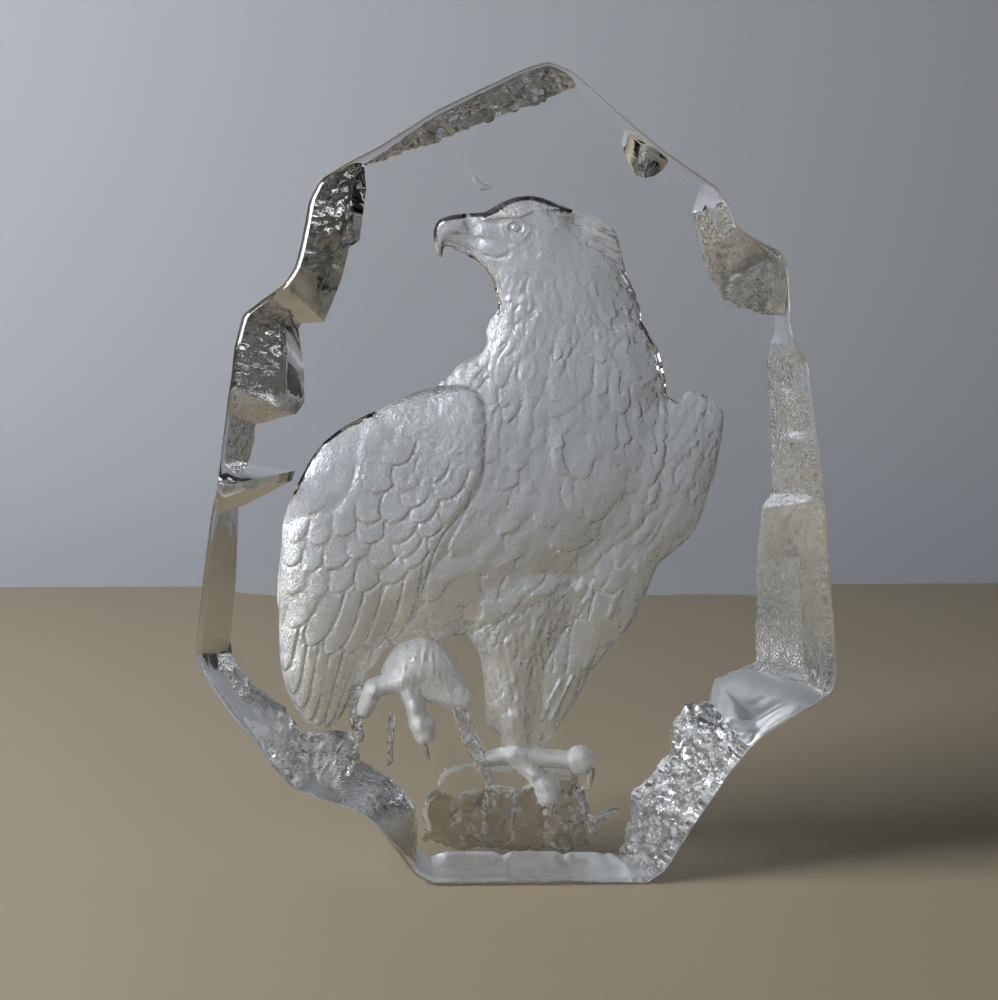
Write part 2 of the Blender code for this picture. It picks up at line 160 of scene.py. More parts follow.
recess = {
    "left": -72.0, "right": 64.0, "bottom": 1.5, "top": 215.0,
    "step": 0.26,  # spacing of the height map
    "fine": 0.26,  # point spacing where the surface turns fast
    "outlineSpacing": 0.5,
    "fineShare": 0.14,  # share of the recess that takes fine points
    "middleShare": 0.60,  # and that takes fine or middling ones
    "lip": 0.18,  # height of the steep edge round the eagle
    "lipWidth": 0.35,
    "groove": 0.75,  # depth of the lines round the feathers
    "grooveWidth": 0.22,
    "crack": 0.45,  # depth of the cracks between blocks of rock
    "rockEdge": 1.0,
    "rockLayer": 5.2,  # how thick the rock's layers are
    "rockStep": 0.12,  # how far each stands out over the next
    "hammer": 0.28,  # depth of the dimples on the wing's shoulder
    "hammerBlur": 2.0,
    "grain": 0.05,  # how uneven the frosted skin is, and how much more on the shoulder
    "hammerGrain": 0.03,
    "bandPast": 3.2,  # how far a polished band fades out past its ends
    "bandIn": 12,  # and how far in from the edge
    "ragged": 0.45,  # how far the feather tips break the neck's outline
    "featherLift": 1.5,
    "featherBlur": 0.20,
    "stepWidth": 1.3,  # how far in a mass has gained its step over what lies behind
    "joint": 1.6,  # how far apart two heights still run into each other
    "toeRings": 0.25,
    "smoothFrom": 0.35,  # share of a polished band that makes a face clear
    "shortestLoop": 6.0,
    "edgeGap": 0.28,  # no loose points nearer the outline than this
}

# the bird's masses from the farthest to the nearest: outline, rises as (softness, height),
# step over what lies behind
eagleMasses = {
    "right wing": ([(34, 140), (44, 137.6), (47.2, 136), (50, 138.9), (55, 137.8), (59.9, 134), (60.6, 129),
      (58.3, 114.5), (57.2, 111.3), (53, 98.6), (46.2, 91.3), (41.8, 87.3), (37, 75.4), (33, 68.5), (27, 62),
      (23, 57), (15, 58), (13, 80), (24, 104), (28, 120)], [(3, 1.3), (8, 2.6)], 0),
    "tail": ([(23.5, 62), (22.9, 58), (18.8, 48.8), (14.4, 41.8), (10, 34.8), (6.5, 31.8), (3, 34.3), (4, 50),
      (8, 68)], [(0.8, 0.4), (4, 2.4)], 0.4),
    "thigh": ([(21, 83), (19.1, 76.5), (16.2, 71.1), (12.3, 64.1), (9, 58.2), (8.4, 50), (8.4, 42), (5.5, 33),
      (1, 31.5), (-3.4, 36.2), (-7.9, 41), (-8.6, 48), (-9, 55.3), (-10.6, 62.2), (-14, 69), (-14, 82),
      (4, 90)], [(0.8, 0.4), (4.5, 4.8)], 0.7),
    "body": ([(-21, 177.3), (-23, 182.8), (-22.4, 187), (-20, 189), (-15, 190), (-8.5, 190.6), (-3, 193.5),
      (2, 194.9), (7, 194.6), (14.5, 191.8), (25, 188), (29.5, 183.5), (31.5, 175), (35.3, 165), (37.5, 158),
      (42, 149.5), (44, 138), (44, 126.4), (43, 116.7), (41.2, 106.9), (34.5, 97.2), (27.7, 92.3),
      (19.9, 84.9), (13.1, 80.5), (4.4, 76.6), (-7.4, 70.7), (-22, 66), (-38, 66), (-48, 84), (-46, 104),
      (-38, 118), (-30, 132), (-20.5, 142), (-14.6, 147.8), (-9, 150.3), (-7.6, 157.5), (-4.6, 163.5),
      (-6.8, 170.8), (-10.7, 176.1), (-17, 179.8), (-20, 180.6)], [(3.2, 1.8), (10, 5.6)], 0.8),
    "wing edge": ([(-16, 141.2), (-28, 139), (-36.7, 135), (-47, 130), (-53, 126), (-58.5, 120), (-66, 104.5),
      (-68, 92), (-68.7, 75), (-60, 70), (-30, 80), (-12, 108), (-8.8, 116), (-8, 127), (-8.6, 135),
      (-11, 139.5)], [(3, 1.5), (9, 4.8)], 1),
    "left wing": ([(-16, 141.2), (-28, 139), (-38, 134.3), (-43.5, 129), (-45.5, 121), (-47, 113), (-51, 106),
      (-58, 103.5), (-66, 100), (-68, 92), (-68.7, 75), (-68.5, 60), (-66.5, 50.5), (-62, 42.5), (-58, 40),
      (-53, 41), (-46, 51), (-38, 63), (-30, 72), (-26, 83), (-21.6, 96), (-11.6, 108), (-8.8, 116),
      (-8, 127), (-8.6, 135), (-11, 139.5)], [(1.6, 0.6), (6, 4.4), (12, 3)], 0.7),
}

# materials of what is not frosted, first the rough or clear parts, then the lit frosted ones, whose whiter,
# less clear look is painted light
# the rock's fronts and top take tints that are painted shade and painted light
eagleSlots = {"rock": "shadedRock", "slab": "slab", "claw": "cast", "rough": "broken", "nick": "polished"}
# legs and toes are whiter as painted light
legSlots = {"leg": "litFrosted", "foot": "litFrosted"}

# legs and toes, nearest of all: the upper leg's outline, then for each bar both ends, the radius at each,
# height, and what it counts as
legOutline = [
    (-39.2, 55.3), (-37.4, 60.6), (-33.8, 64.8), (-27.9, 66.6), (-22.1, 65.3), (-18.6, 61.7), (-16.2, 56.9),
    (-13.9, 52.1), (-15.2, 48.8), (-22, 49.6), (-27, 50.5), (-31, 50), (-36, 51.2),
]
legRises = [(0.8, 1.4), (4, 4.6)]
eagleLimbs = [
    ((0.3, 42), (0.6, 33), 4.4, 4.2, 3.6, "thigh"), ((-1, 31.8), (-8.6, 30.2), 2.6, 2.3, 3, "foot"),
    ((3, 31.2), (17, 29.9), 2.7, 2.6, 3.4, "foot"), ((19.4, 30.2), (19.9, 29.2), 4.1, 4.1, 4.8, "foot"),
    ((0.3, 31.5), (5.5, 26.2), 3.2, 2.7, 4.2, "foot"), ((5.5, 26.2), (8.6, 23), 2.7, 3.1, 4.6, "foot"),
    ((9.8, 21.8), (10.4, 18.8), 4, 3.6, 5.4, "foot"), ((10.5, 16.2), (10.7, 12.6), 1.6, 0.7, 3.2, "claw"),
    ((22.7, 26.5), (22.2, 20.8), 1.3, 0.7, 2.8, "claw"), ((18.9, 20.2), (20.6, 14.4), 1.8, 2.1, 3.2, "rough"),
    ((20.6, 14.4), (23.4, 8.2), 2.1, 1.3, 2.2, "rough"), ((23.2, 11.1), (31, 14.6), 1.2, 0.9, 1.6, "rough"),
    ((-36, 43.4), (-36.7, 28.6), 1.1, 0.8, 2, "rough"),
    ((-45.2, 50.5), (-47.2, 43.5), 2.2, 2.2, 3.4, "rough"),
    ((-47.2, 43.5), (-45.4, 36.6), 2.2, 1.2, 3.2, "rough"), ((-34, 54), (-41.4, 51.6), 3.4, 3, 5, "leg"),
    ((-41.4, 51.6), (-44.2, 45), 3, 2.5, 4.6, "leg"), ((-31.5, 53.5), (-29.2, 46.5), 4.2, 2.9, 5.6, "leg"),
    ((-29.2, 46.5), (-27.8, 41), 2.9, 3.3, 5.6, "leg"), ((-27, 40.4), (-26.4, 37.8), 3.8, 3.2, 6, "leg"),
    ((-26.5, 35), (-25.4, 30.4), 1, 0.6, 2.2, "claw"), ((-26, 50.8), (-16.2, 48.4), 3.2, 4, 3.6, "leg"),
    ((-16.2, 44.6), (-13.2, 36.5), 2.1, 2.6, 3.4, "rough"),
    ((-13.2, 36.5), (-10.3, 30.4), 2.6, 2.3, 3.4, "rough"),
    ((-10.3, 30.4), (-6.8, 22.4), 2, 1.2, 3.2, "rough"), ((-7.4, 21.4), (-0.6, 20.6), 1.3, 1.1, 2.8, "rough"),
    ((-8.6, 18.5), (-8.9, 8), 0.5, 0.7, 1.6, "rough"), ((0.4, 19.2), (-1, 7.8), 0.8, 0.6, 1.8, "rough"),
]

# blocks of the rock under the feet: outline, height in the middle, rise to the right, rise upward,
# roughness
rockBlocks = [
    ([(-22.8, 24.4), (-21, 27.1), (-13.3, 29.5), (-8.8, 28.2), (-8.4, 20.7), (-18.1, 19),
      (-22.8, 21.5)], 1.3, -0.05, -0.14, 0.2),
    ([(-8.8, 28.2), (-0.3, 28.8), (3.1, 28.5), (1.6, 20.6), (0.4, 19.3),
      (-8.4, 20.7)], 1.4, 0.05, -0.12, 0.2),
    ([(3.1, 28.5), (16.4, 27.8), (18.8, 24.1), (5.1, 21.8), (1.6, 20.6)], 1.3, 0.05, -0.16, 0.2),
    ([(-26, 18.4), (-22.8, 21.5), (-18.1, 19), (-17.5, 11), (-21, 4.4), (-26.5, 5.8)], 1.3, -0.1, 0.14, 0.7),
    ([(-18.1, 19), (-8.4, 20.7), (-8.8, 2.9), (-14, 2.7), (-21, 4.4), (-17.5, 11)], 1.8, 0.14, 0.22, 0.6),
    ([(-8.4, 20.7), (0.4, 19.3), (-0.9, 2.7), (-8.8, 2.9)], 2, -0.14, 0.2, 0.55),
    ([(0.4, 19.3), (1.6, 20.6), (5.1, 21.8), (8, 21), (8.4, 14.6), (9.5, 12), (9.2, 2.7),
      (-0.9, 2.7)], 1.9, 0.16, 0.22, 0.6),
    ([(8.4, 14.6), (17.2, 15), (18.2, 2.9), (9.2, 2.7), (9.5, 12)], 1.6, 0, 0.1, 0.9),
    ([(8, 21), (12.8, 23.3), (18.6, 23.6), (19.2, 18), (22, 4), (18.2, 2.9), (17.2, 15),
      (8.4, 14.6)], 1.8, 0.12, 0.16, 0.7),
]

# a small nick above the head
nickOutline = [
    (-11.6, 201.2), (-11.8, 198.6), (-9.6, 196.6), (-6.6, 197.2), (-5.6, 198.4), (-8.2, 198.2),
    (-10.2, 199.4),
]


def limited(value):  # to the range from 0 to 1
    return np.clip(value, 0, 1)


def positive(value):
    return np.maximum(value, 0)


def bell(distance, width):
    return np.exp(-(distance / width) ** 2)


def unit(angle):
    return np.array([math.cos(angle), math.sin(angle)])


def spots(x, y, z):  # one array of points, three numbers each
    return np.stack(np.broadcast_arrays(x, y, z), axis=-1)


def closedSpline(points, spacing):
    knots = np.array(points, float)
    samples = []
    for i in range(len(knots)):
        before, start, end, after = (knots[(i + k) % len(knots)] for k in (-1, 0, 1, 2))
        count = max(1, round(np.linalg.norm(end - start) / spacing))
        t = (np.arange(count) / count)[:, None]
        samples.append(0.5 * (2 * start + (end - before) * t
                              + (2 * before - 5 * start + 4 * end - after) * t ** 2
                              + (3 * start - 3 * end + after - before) * t ** 3))
    return np.concatenate(samples)


def shareAlong(ax, az, dx, dz, x, z):  # how far along a line each point lies, from 0 to 1
    return limited(((x - ax) * dx + (z - az) * dz) / (dx * dx + dz * dz))


def insideDistance(outline, x, z):
    nearest = np.full(x.shape, 1e9)
    inside = np.zeros(x.shape, bool)
    for (ax, az), (bx, bz) in zip(outline, np.roll(outline, -1, axis=0)):
        dx, dz = bx - ax, bz - az
        along = shareAlong(ax, az, dx, dz, x, z)
        nearest = np.minimum(nearest, (x - ax - along * dx) ** 2 + (z - az - along * dz) ** 2)
        if az != bz:
            inside ^= ((az > z) != (bz > z)) & (x < ax + (z - az) * dx / dz)
    return np.sqrt(nearest) * np.where(inside, 1, -1)


def barDistance(start, end, startRadius, endRadius, x, z):
    dx, dz = end[0] - start[0], end[1] - start[1]
    along = shareAlong(*start, dx, dz, x, z)
    radius = startRadius + (endRadius - startRadius) * along
    return radius - np.hypot(x - start[0] - along * dx, z - start[1] - along * dz), radius


def lineDistance(points, x, z):
    nearest = np.full(x.shape, 1e9)
    for start, end in zip(points, points[1:]):
        distance, _ = barDistance(start, end, 0.0, 0.0, x, z)
        nearest = np.minimum(nearest, -distance)
    return nearest


def dome(distance, reach, squareness):
    left = 1 - limited(distance / reach)
    return (1 - left ** squareness) ** (1 / squareness)


def blurred(field, reach):  # soft blur of a height map
    reach = reach / recess["step"]
    rows, columns = field.shape
    pad = int(reach * 3) + 1
    wide = np.pad(field, pad)
    down, across = np.fft.fftfreq(wide.shape[0]), np.fft.rfftfreq(wide.shape[1])
    keep = np.exp(-2 * (math.pi * reach) ** 2 * (down[:, None] ** 2 + across[None, :] ** 2))
    return np.fft.irfft2(np.fft.rfft2(wide) * keep, wide.shape)[pad:pad + rows, pad:pad + columns]


def softStep(share, reach):  # rises from the edge of a shape inward
    return limited(2 * blurred(share, reach) - 1)


def raised(distance, rises):
    share = limited(distance / recess["step"] + 0.5)
    return sum(height * softStep(share, softness) for softness, height in rises)


def grain(points, size, seed, octaves=2):  # smooth noise from -1 to 1, in lumps of about the size
    total = np.zeros(points.shape[:-1])
    for octave in range(octaves):
        cell = points * (2 ** octave / size)
        low = np.floor(cell).astype(np.int64)
        part = cell - low
        part = part * part * (3 - 2 * part)
        value = np.zeros(total.shape)
        for corner in range(8):
            offset = np.array([corner & 1, corner >> 1 & 1, corner >> 2])
            mixed = np.bitwise_xor.reduce((low + offset) * (73856093, 19349663, 83492791), axis=-1)
            mixed ^= (seed + octave) * 2654435761
            mixed = ((mixed ^ mixed >> 13) * 1274126177) & 0xffffffff
            mixed ^= mixed >> 16
            value += ((mixed & 0xffff) / 32767.5 - 1) * np.where(offset, part, 1 - part).prod(axis=-1)
        total += value / 2 ** octave
    return total


def zeroLoops(field, xs, zs, shortest):  # outlines of where the field is above zero
    links = {}
    above = field > 0
    count = above[:-1, :-1] * 1 + above[:-1, 1:] + above[1:, 1:] + above[1:, :-1]
    for row, column in np.argwhere((count > 0) & (count < 4)).tolist():
        corners = [(row, column), (row, column + 1), (row + 1, column + 1), (row + 1, column)]
        sides = zip(corners, corners[1:] + corners[:1])
        cuts = [(tuple(sorted(side)), above[side[0]]) for side in sides if above[side[0]] != above[side[1]]]
        if len(cuts) == 4 and not cuts[0][1]:
            cuts = cuts[1:] + cuts[:1]
        for (first, _), (second, _) in zip(cuts[::2], cuts[1::2]):
            links.setdefault(first, []).append(second)
            links.setdefault(second, []).append(first)
    loops = []
    while links:
        loop, key, previous = [], next(iter(links)), None
        while key in links:
            (rowA, columnA), (rowB, columnB) = key
            share = field[key[0]] / (field[key[0]] - field[key[1]])
            loop.append((xs[columnA] + (xs[columnB] - xs[columnA]) * share,
                         zs[rowA] + (zs[rowB] - zs[rowA]) * share))
            onward = links.pop(key)
            previous, key = key, onward[onward[0] == previous]
        loop = np.array(loop)
        if np.linalg.norm(np.roll(loop, -1, axis=0) - loop, axis=1).sum() > shortest:
            loops.append(loop)
    return loops


def resample(loop, spacing):
    closed = np.vstack([loop, loop[:1]])
    lengths = np.concatenate([[0], np.cumsum(np.linalg.norm(np.diff(closed, axis=0), axis=1))])
    count = max(6, round(lengths[-1] / spacing))
    at = np.arange(count) * lengths[-1] / count
    return np.stack([np.interp(at, lengths, closed[:, k]) for k in (0, 1)], axis=1)


def softened(ring, reach):
    steps = np.linalg.norm(np.roll(ring, -1, axis=0) - ring, axis=1)
    around = np.concatenate([[0], np.cumsum(steps)])
    total = around[-1]
    apart = (around[:-1, None] - around[None, :-1] + total / 2) % total - total / 2
    weights = np.exp(-0.5 * (apart / reach) ** 2) * ((steps + np.roll(steps, 1)) / 2)[None, :]
    return (weights / weights.sum(axis=1, keepdims=True)) @ ring


def filled(ring, loops=(), loose=()):
    points, edges = list(ring), []
    for loop in loops:
        start, count = len(points), len(loop)
        points.extend(loop)
        edges.extend((start + i, start + (i + 1) % count) for i in range(count))
    points.extend(loose)
    outline = [list(range(len(ring)))[::-1]]
    made = delaunay_2d_cdt([Vector(p) for p in points], edges, outline, 0, 1e-6, True)
    found, _, faces, origins, _, within = made
    assert len(found) == len(points), "the outlines cross or meet"
    return np.array(points), [tuple(origins[v][0] for v in face) for face, own in zip(faces, within) if own]


def rimGrid():  # rows of points from the front face's edge to the back face's, each point x, depth, z
    stations = [((*station, *rimProfiles[profile]), (finish[0], finish[-1]))
                for profile, *finish, run in rimRuns.values() for station in run]
    columns, names = [], []
    for (now, finish), (then, _) in zip(stations, stations[1:] + stations[:1]):
        now, then = np.array(now, float), np.array(then, float)
        apart = max(np.linalg.norm(then[:2] - now[:2]), np.linalg.norm(then[2:4] - now[2:4]))
        count = max(1, round(apart / block["rimSpacing"]))
        columns.append(now + (then - now) * (np.arange(count) / count)[:, None])
        names.extend([finish] * count)
    columns, names = np.concatenate(columns), np.array(names)
    fronts, backs = softened(columns[:, 0:2], block["cornerWear"]), columns[:, 2:4]
    fronts[fronts[:, 1] < 0.4, 1] = 0.0  # stands flat
    share, pull = columns[:, 4], columns[:, 5][:, None]
    worn = softened(fronts, block["inwardReach"])
    along = np.roll(worn, -1, axis=0) - np.roll(worn, 1, axis=0)
    inward = np.stack([along[:, 1], -along[:, 0]], axis=1) / np.linalg.norm(along, axis=1)[:, None]
    ridges = fronts + (backs - fronts) * pull
    edgeRound, depth = block["edgeRound"], block["depth"]
    ridgeDepth = edgeRound + (depth - edgeRound) * share
    rows, strengths = [], []

    def addRow(flat, depths, front, back):  # front and back say how much of each finish it has
        rows.append(spots(flat[:, 0], depths, flat[:, 1]))
        strengths.append((front, back))

    for k in range(block["roundRows"] + 1):
        angle = math.pi / 2 * k / block["roundRows"]
        flat = fronts + inward * edgeRound * (1 - math.sin(angle))
        addRow(flat, edgeRound * (1 - math.cos(angle)), 0.0, 0.0)
    for t in np.arange(1, block["frontRows"] + 1) / block["frontRows"]:
        flat = fronts + (ridges - fronts) * t
        addRow(flat, edgeRound + (ridgeDepth - edgeRound) * t, min(1.0, t * 5), 0.0)
    for t in np.arange(1, block["backRows"] + 1) / block["backRows"]:
        flat = ridges + (backs - ridges) * t
        addRow(flat, ridgeDepth + (depth - ridgeDepth) * t, 0.0, min(1.0, (1 - t) * 6))
    grid = np.array(rows)
    across = np.roll(grid, -1, axis=1) - np.roll(grid, 1, axis=1)
    outward = np.cross(np.gradient(grid, axis=0), across)
    outward /= np.linalg.norm(outward, axis=2, keepdims=True) + 1e-9
    height = np.zeros(grid.shape[:2])
    for name, (lump, size, fine, look) in rimFinishes.items():
        spread = grid * (1, block["rippleShare"], 1) if name == "rippled" else grid
        wide = grain(spread, size, 11) * (1 - fine)
        small = grain(spread, size / block["fineLumps"], 23) * fine
        if look == "broken" or name == "chipped":  # sharp creases
            wide = (fine - 1) * (2 * np.abs(wide) / (1 - fine) - 0.8)
            small = -fine * (2 * np.abs(small) / fine - 0.8)
        strength = np.array([front * (names[:, 0] == name) + back * (names[:, 1] == name)
                             for front, back in strengths])
        strength = (strength + np.roll(strength, 1, axis=1) + np.roll(strength, -1, axis=1)) / 3
        height += lump * (wide + small) * strength
    grid += outward * height[:, :, None]
    rough = np.array([max(rimFinishes[back][0] - 0.15, 0) for _, back in names])
    jitter = grain(columns[:, [2, 3, 0]], 2.2, 31) * rough
    jitter = np.clip(jitter, -block["raggedBack"], block["raggedBack"])
    grid[-1, :, [0, 2]] += inward.T * jitter
    grid[:, :, 2] = np.maximum(grid[:, :, 2], 0.0)
    return grid, [[crystalSlots.index(rimFinishes[name][3]) for name in pair] for pair in names]


class HeightMap:
    def __init__(self):
        self.xs = np.arange(recess["left"], recess["right"], recess["step"])
        self.zs = np.arange(recess["bottom"], recess["top"], recess["step"])
        self.x, self.z = np.meshgrid(self.xs, self.zs)
        self.height, self.detail, self.line, self.smooth, self.litPatch = np.zeros((5, *self.x.shape))
        self.inside = np.full(self.x.shape, -1e9)
        self.owner = np.full(self.x.shape, -1)
        self.feather = np.zeros(self.x.shape, int)
        self.owners = []

    def window(self, points, margin=0):  # the part of the map round the points, and its x and z
        start = np.array([self.xs[0], self.zs[0]])
        low = ((np.min(points, axis=0) - margin - start) / recess["step"]).astype(int).clip(0)
        high = (((np.max(points, axis=0) + margin - start) / recess["step"]).astype(int) + 2).clip(0)
        part = slice(low[1], high[1]), slice(low[0], high[0])
        return part, self.x[part], self.z[part]

    def addMass(self, name, distance, rise, step, part):  # lays a mass over what is there
        if name not in self.owners:
            self.owners.append(name)
        covers = distance > 0
        self.inside[part] = np.maximum(self.inside[part], distance)
        self.owner[part] = np.where(covers, self.owners.index(name), self.owner[part])
        gained = 1 - np.exp(-(positive(distance) / recess["stepWidth"]) ** 1.4)
        under = self.height[part] + step * gained
        top, gap, joint = np.maximum(rise, under), np.abs(rise - under), recess["joint"]
        joined = top + 0.25 * positive(joint - gap) ** 2 / joint
        joined = np.minimum(joined, top + limited(distance) * 0.4)
        self.height[part] = np.where(covers, joined, self.height[part])

    def owns(self, names, part=...):
        return np.isin(self.owner[part], [self.owners.index(name) for name in names])

    def cell(self, x, z, last):  # where points lie in the grid, kept inside it
        return (np.clip((at - grid[0]) / recess["step"], 0, len(grid) - last)
                for at, grid in ((x, self.xs), (z, self.zs)))

    def ownerAt(self, x, z):
        column, row = self.cell(x, z, 1)
        return max(0, self.owner[round(row), round(column)])

    def at(self, field, x, z):
        u, v = self.cell(x, z, 1.001)
        i, j = u.astype(int), v.astype(int)
        s, t = u - i, v - j
        return ((field[j, i] * (1 - s) + field[j, i + 1] * s) * (1 - t)
                + (field[j + 1, i] * (1 - s) + field[j + 1, i + 1] * s) * t)


def addOutline(relief, name, points, spacing, margin, rises, step):
    outline = closedSpline(points, spacing)
    part, x, z = relief.window(outline, margin)
    distance = insideDistance(outline, x, z)
    if name == "body":  # the feather tips break its outline below the head
        ragged = grain(spots(x, z * 1.4, 0), 2.6, 77)
        distance += recess["ragged"] * ragged * limited((178 - z) / 6)
    relief.addMass(name, distance, raised(distance, rises), step, part)


def modelMasses(relief):
    for name, (points, rises, step) in eagleMasses.items():
        addOutline(relief, name, points, 1.2, 20, rises, step)
    outline = closedSpline(nickOutline, 0.6)
    part, x, z = relief.window(outline, 3)
    distance = insideDistance(outline, x, z)
    relief.addMass("nick", distance, np.minimum(0.4 * positive(distance), 0.25), 0.0, part)
    for outline, full, across, upward, rough in rockBlocks:
        isFront = upward > 0
        part, x, z = relief.window(outline, 3)
        lumps = grain(spots(x, z, 0), 2.4, 61, 3) * rough
        distance = insideDistance(outline, x, z) + np.minimum(lumps * (1.4 if isFront else 0.4), 0.4)
        middle = np.mean(outline, axis=0)
        plane = full + across * (x - middle[0]) + upward * (z - middle[1]) + lumps
        if isFront:  # the fronts are broken in layers
            layer = (z + 1.6 * grain(spots(x, z, 0), 5.0, 63)) / recess["rockLayer"] % 1
            plane += recess["rockStep"] * (np.minimum(layer, (1 - layer) * 5) - 0.4)
        plane -= recess["crack"] * np.exp(-positive(distance) / 0.4)
        # front blocks take the rock's look, whose dark olive tint is painted shade, and top blocks the slab's
        # look, whose paler tint is painted light
        relief.addMass("rock" if isFront else "slab", distance + 0.25, np.maximum(plane, 0.3), 0.0, part)
    rock = relief.owns(["rock", "slab"])
    ramp = softStep(rock * 1.0, recess["rockEdge"]) ** 1.5
    relief.height = np.where(rock, relief.height * ramp, relief.height)
    addOutline(relief, "leg", legOutline, 0.8, 9, legRises, 2.0)
    for start, end, startRadius, endRadius, full, name in eagleLimbs:
        part, x, z = relief.window((start, end), max(startRadius, endRadius) + 2)
        distance, radius = barDistance(start, end, startRadius, endRadius, x, z)
        rise = full * dome(positive(distance), radius, 1.8)
        if name == "rough":
            lumps = grain(spots(x, z, 0), 1.5, 67)
            distance = distance + 0.35 * lumps
            rise = rise + 0.55 * lumps * limited(distance)
        relief.addMass(name, distance, rise, 1.2, part)


def layFeather(relief, owners, root, tip, width, lift, bend, point=2.2, line=1.0, tilt=0.6):
    root, tip = np.array(root, float), np.array(tip, float)
    length = np.linalg.norm(tip - root)
    ahead = (tip - root) / length
    side = np.array([-ahead[1], ahead[0]])
    reach = width + abs(bend)
    part, x, z = relief.window((root, tip), reach)
    x, z = x - root[0], z - root[1]
    if not x.size:
        return
    u = limited((x * ahead[0] + z * ahead[1]) / length)
    v = x * side[0] + z * side[1] - bend * 4 * u * (1 - u)
    rounded = limited((u - 0.45) / 0.55) ** point
    half = width / 2 * np.sqrt(limited(1 - rounded))
    across = np.abs(v) / np.maximum(half, 1e-6)
    covered = (u > 0) & (u < 1) & (across < 1) & relief.owns(owners, part)
    lift = lift * recess["featherLift"]
    tilted = 1 + tilt * v / np.maximum(half, 0.3)
    shape = lift * (0.15 + 0.85 * u ** 1.3) * (1 - 0.35 * across ** 2) * tilted
    relief.detail[part] = np.where(covered, shape, relief.detail[part])
    relief.feather[part] = np.where(covered, relief.feather.max() + 1, relief.feather[part])
    relief.line[part] = np.where(covered, line, relief.line[part])


def layField(relief, owners, arrows, seed, line):  # rows of feathers that follow the arrows
    rng = np.random.default_rng(seed)
    arrows = np.array(arrows, float)
    flow = np.array([np.cos(np.radians(arrows[:, 2])).mean(), np.sin(np.radians(arrows[:, 2])).mean()])
    flow /= np.linalg.norm(flow)
    side = np.array([-flow[1], flow[0]])
    mask = relief.owns(owners)
    x, z = relief.x[mask], relief.z[mask]
    along, across = x * flow[0] + z * flow[1], x * side[0] + z * side[1]
    feathers = []
    at, row = along.max() + 3, 0
    while at > along.min() - 3:
        position, rowStep = across.min() - 3, []
        while position < across.max() + 3:
            seat = flow * at + side * position
            weights = 1 / ((arrows[:, :2] - seat) ** 2).sum(axis=1).clip(1) ** 1.5
            angle, length, width, lift = (arrows[:, 2:] * weights[:, None]).sum(axis=0) / weights.sum()
            angle = np.radians(angle + rng.normal(0, 9))
            size = rng.uniform(0.75, 1.35)
            shift = rng.normal(0, 0.16, 2) * (width, length)
            tip = seat + side * (shift[0] + (row % 2) * width * 0.45) + flow * shift[1]
            feathers.append((tip, angle, length * size, width * size, lift * rng.uniform(0.6, 1.5)))
            rowStep.append(length)
            position += width * 0.9
        at -= np.mean(rowStep) * 0.55  # how far each row laps over the next
        row += 1
    for tip, angle, length, width, lift in feathers:
        if lift > 0.015:
            bend = rng.normal(0, 0.14) * width
            layFeather(relief, owners, tip - unit(angle) * length * 1.5, tip, width * 1.12, lift, bend,
                       2.2, line * min(1.0, lift * 3.5), rng.normal(0.25, 0.35))


# long feathers one by one: owners, width, lift, bend, bluntness, line, tilt,
# then root x, root z, tip x, tip z and, where they differ, the feather's own width and lift
longFeathers = [
    (["tail", "right wing"], 5.4, 0.5, 0, 2.2, 1, 0.6, [(26, 80, 20.5, 57), (20, 72, 14.8, 44),
      (14, 70, 9.5, 34), (9, 66, 7.2, 36)]),
    (["body"], 2.2, 0.7, 0.6, 2.2, 1, 0.6, [(10, 192, 22.5, 190.2, 2, 0.7), (14, 190.5, 26.5, 187.4),
      (17, 188, 29, 184.6), (19, 185.5, 30.5, 181, 2.4, 0.7), (21, 182, 31.5, 176, 2.6, 0.7)]),
    (["left wing"], 5, 0.42, -0.5, 5, 1.3, 0.75, [(-35, 78, -46, 51), (-39, 78, -51.5, 42.5),
      (-43.5, 78, -55.3, 40.6), (-48, 78, -58, 40.6), (-52.5, 78, -60.6, 42), (-56.5, 78, -63, 45.5),
      (-60, 78, -65.4, 50), (-62.5, 80, -67.8, 57)]),
    (["left wing"], 7.4, 0.46, 1.6, 4, 1.3, 0.75, [(-25, 95, -30.5, 70), (-30, 94, -37, 66),
      (-35, 92, -43, 64), (-41, 91, -49, 62.6), (-46, 91, -54.5, 62.6), (-51, 92, -60, 65),
      (-56.5, 94, -65.5, 70)]),
    (["wing edge"], 7, 0.1, 0.8, 2.2, 0.3, 0.6, [(-56, 113, -60, 104, 7, 0.12), (-49, 118, -53, 109),
      (-54, 123, -58, 114, 7, 0.08)]),
]


def modelFeathers(relief):
    for owners, seed, line, _, arrows in featherFields:
        layField(relief, owners, arrows, seed, line)
    for owners, width, lift, *shape, feathers in longFeathers:
        for rootX, rootZ, tipX, tipZ, *own in feathers:
            layFeather(relief, owners, (rootX, rootZ), (tipX, tipZ), *(own or (width, lift)), *shape)
    for x, z, length, width, lift in wingCoverts:
        angle = math.radians(-113 + 6 * math.sin(x * 0.9 + z * 0.7))
        tip = np.array([x, z])
        layFeather(relief, ["left wing"], tip - unit(angle) * length, tip, width, lift, 0.5)
    for owners, seed, _, combs, arrows in featherFields:
        for size, reach, depth in combs:
            comb(relief, owners, arrows, size, reach, depth, seed)


